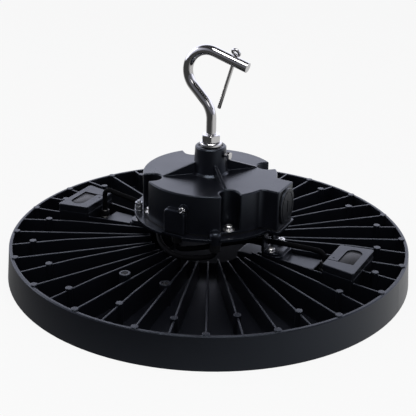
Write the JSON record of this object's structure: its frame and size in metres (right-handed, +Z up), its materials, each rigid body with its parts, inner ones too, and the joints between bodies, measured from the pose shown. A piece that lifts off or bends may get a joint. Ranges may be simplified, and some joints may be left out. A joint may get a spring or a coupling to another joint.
{
  "type": "high bay light",
  "caption": "Round high bay light: finned die-cast heat sink with a lens plate underneath, a raised driver on two brackets, and a hanging hook with a cotter pin.",
  "frame": {"origin": "centre of the rim's bottom face, which the light stands on when it is set down, on the axis of the rim, the driver and the hook's shank", "axes": "+Z up along the hook's shank, +X along the two cable boxes and the driver's extension, +Y to complete a right-handed frame"},
  "size_m": [0.4054, 0.4054, 0.2303],
  "materials": {
    "coated_casting": "black powder coat, satin, fine texture",
    "coated_sheet": "black powder coat on sheet, satin",
    "cover_plastic": "moulded black plastic, satin",
    "gland_plastic": "black nylon",
    "cable_jacket": "black cable jacket",
    "seal_rubber": "black rubber",
    "stainless": "polished stainless",
    "zinc_steel": "bright zinc plate",
    "board": "white solder mask on aluminium",
    "led": "yellow phosphor",
    "lens": "clear moulded lens plate",
    "circuit": "green circuit board",
    "pillar_plastic": "natural nylon",
    "winding": "taped winding on a ferrite core",
    "capacitor_sleeve": "shrink sleeve"
  },
  "bodies": {
    "root": {"base_plate": "coated_sheet", "box_cover_left": "cover_plastic", "box_cover_right": "cover_plastic", "cap_nuts": "zinc_steel", "cap_screws": "stainless", "cap_spring_washers": "stainless", "cap_washers": "stainless", "capacitors": "capacitor_sleeve", "circuit_board": "circuit", "circuit_pillars": "pillar_plastic", "cotter_pin": "stainless", "driver_cap": "coated_casting", "driver_gasket": "seal_rubber", "earth_nuts": "zinc_steel", "earth_spring_washer": "zinc_steel", "earth_stud": "zinc_steel", "earth_washer": "zinc_steel", "end_plug": "cover_plastic", "exit_gland": "gland_plastic", "floor_gland_left": "gland_plastic", "floor_gland_right": "gland_plastic", "foot_bracket_left": "coated_sheet", "foot_bracket_right": "coated_sheet", "foot_screws": "stainless", "foot_spring_washers": "stainless", "heat_sink": "coated_casting", "hook": "stainless", "hook_nut": "stainless", "hook_spring_washer": "stainless", "hook_washer": "stainless", "lead_left": "cable_jacket", "lead_right": "cable_jacket", "led_board": "board", "led_chips": "led", "lens_plate": "lens", "lens_screws": "zinc_steel", "lens_seal": "seal_rubber", "pad_screw": "stainless", "plug_seal": "seal_rubber", "set_screw": "stainless", "side_gland": "gland_plastic", "tab_screws": "zinc_steel", "transformer": "winding"}
  },
  "joints": []
}
